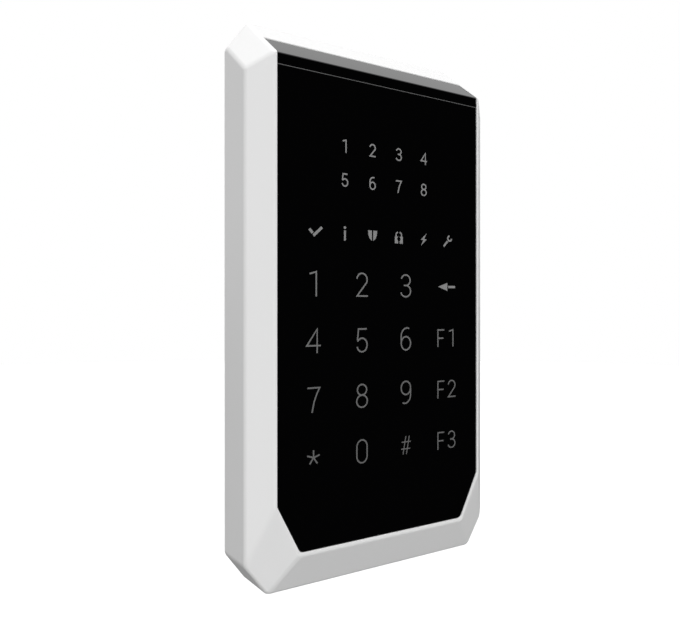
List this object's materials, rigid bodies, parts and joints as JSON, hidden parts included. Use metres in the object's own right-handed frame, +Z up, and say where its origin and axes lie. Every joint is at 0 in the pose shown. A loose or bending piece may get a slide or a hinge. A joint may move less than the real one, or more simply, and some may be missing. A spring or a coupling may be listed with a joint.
{
  "type": "alarm keypad panel",
  "caption": "Wall-mounted alarm keypad: a black gloss touch panel in a faceted white housing that hooks on a wall plate and swings up to open, with a tamper switch behind.",
  "frame": {"origin": "centre of the wall plate's back face, which lies on the wall", "axes": "+Z up the wall, -Y out of the wall towards the user, +X to the user's right"},
  "size_m": [0.081, 0.0185, 0.15],
  "materials": {
    "white_plastic": "fine satin moulded ABS",
    "black_gloss_panel": "polished black acrylic",
    "adhesive_tape": "matt foam tape",
    "diffuser_film": "milky film",
    "black_plastic": "moulded, lightly textured",
    "clear_guide": "clear acrylic sheet",
    "circuit_board": "green solder resist on glass epoxy",
    "chip_black": "moulded epoxy with tinned legs",
    "can_aluminium": "drawn can",
    "terminal_green": "moulded polyamide",
    "bright_steel": "zinc plated",
    "brass": "bare brass",
    "lamp_resin": "white resin with a clear dome"
  },
  "bodies": {
    "wall_plate": {"wall_plate": "white_plastic", "retaining_nut": "brass"},
    "retaining_screw": {"retaining_screw": "bright_steel"},
    "front_unit": {"front_housing": "white_plastic", "front_panel": "black_gloss_panel", "panel_top_cap": "black_gloss_panel", "panel_adhesive": "adhesive_tape", "legend_diffuser": "diffuser_film", "light_mask": "black_plastic", "key_light_guide": "clear_guide", "main_board": "circuit_board", "microcontroller": "chip_black", "touch_controller": "chip_black", "voltage_regulator": "chip_black", "bus_transceiver": "chip_black", "crystal": "bright_steel", "supply_capacitor": "can_aluminium", "sounder": "black_plastic", "programming_header": "black_plastic", "terminal_block": "terminal_green", "tamper_switch": "black_plastic", "tamper_spring": "bright_steel", "board_screw_1": "bright_steel", "board_screw_2": "bright_steel", "board_screw_3": "bright_steel", "board_screw_4": "bright_steel", "terminal_clamp_1": "brass", "terminal_clamp_2": "brass", "terminal_clamp_3": "brass", "terminal_clamp_4": "brass", "zone_lamp_1": "lamp_resin", "zone_lamp_2": "lamp_resin", "zone_lamp_3": "lamp_resin", "zone_lamp_4": "lamp_resin", "zone_lamp_5": "lamp_resin", "zone_lamp_6": "lamp_resin", "zone_lamp_7": "lamp_resin", "zone_lamp_8": "lamp_resin", "status_lamp_1": "lamp_resin", "status_lamp_2": "lamp_resin", "status_lamp_3": "lamp_resin", "status_lamp_4": "lamp_resin", "status_lamp_5": "lamp_resin", "status_lamp_6": "lamp_resin", "key_lamp_1": "lamp_resin", "key_lamp_2": "lamp_resin", "key_lamp_3": "lamp_resin", "key_lamp_4": "lamp_resin"},
    "tamper_plunger": {"tamper_plunger": "white_plastic"},
    "terminal_screw_1": {"terminal_screw_1": "bright_steel"},
    "terminal_screw_2": {"terminal_screw_2": "bright_steel"},
    "terminal_screw_3": {"terminal_screw_3": "bright_steel"},
    "terminal_screw_4": {"terminal_screw_4": "bright_steel"}
  },
  "joints": [
    {"name": "front_swing", "type": "hinge", "parent": "wall_plate", "child": "front_unit", "pos_m": [0, -0.0014, 0.0726], "axis": [-1, 0, 0], "range_deg": [0, 45]},
    {"name": "retaining_screw_turn", "type": "hinge", "parent": "wall_plate", "child": "retaining_screw", "pos_m": [0, -0.006, -0.07], "axis": [0, 0, 1], "continuous": true},
    {"name": "tamper_press", "type": "slide", "parent": "front_unit", "child": "tamper_plunger", "axis": [0, 1, 0], "range_m": [0, 0.0025], "stiffness_N_per_m": 150, "springref_m": 0.006, "deforming": ["tamper_spring"]},
    {"name": "terminal_screw_1_turn", "type": "hinge", "parent": "front_unit", "child": "terminal_screw_1", "pos_m": [-0.0075, -0.006, 0.0004], "axis": [0, 1, 0], "continuous": true},
    {"name": "terminal_screw_2_turn", "type": "hinge", "parent": "front_unit", "child": "terminal_screw_2", "pos_m": [-0.0025, -0.006, 0.0004], "axis": [0, 1, 0], "continuous": true},
    {"name": "terminal_screw_3_turn", "type": "hinge", "parent": "front_unit", "child": "terminal_screw_3", "pos_m": [0.0025, -0.006, 0.0004], "axis": [0, 1, 0], "continuous": true},
    {"name": "terminal_screw_4_turn", "type": "hinge", "parent": "front_unit", "child": "terminal_screw_4", "pos_m": [0.0075, -0.006, 0.0004], "axis": [0, 1, 0], "continuous": true}
  ]
}
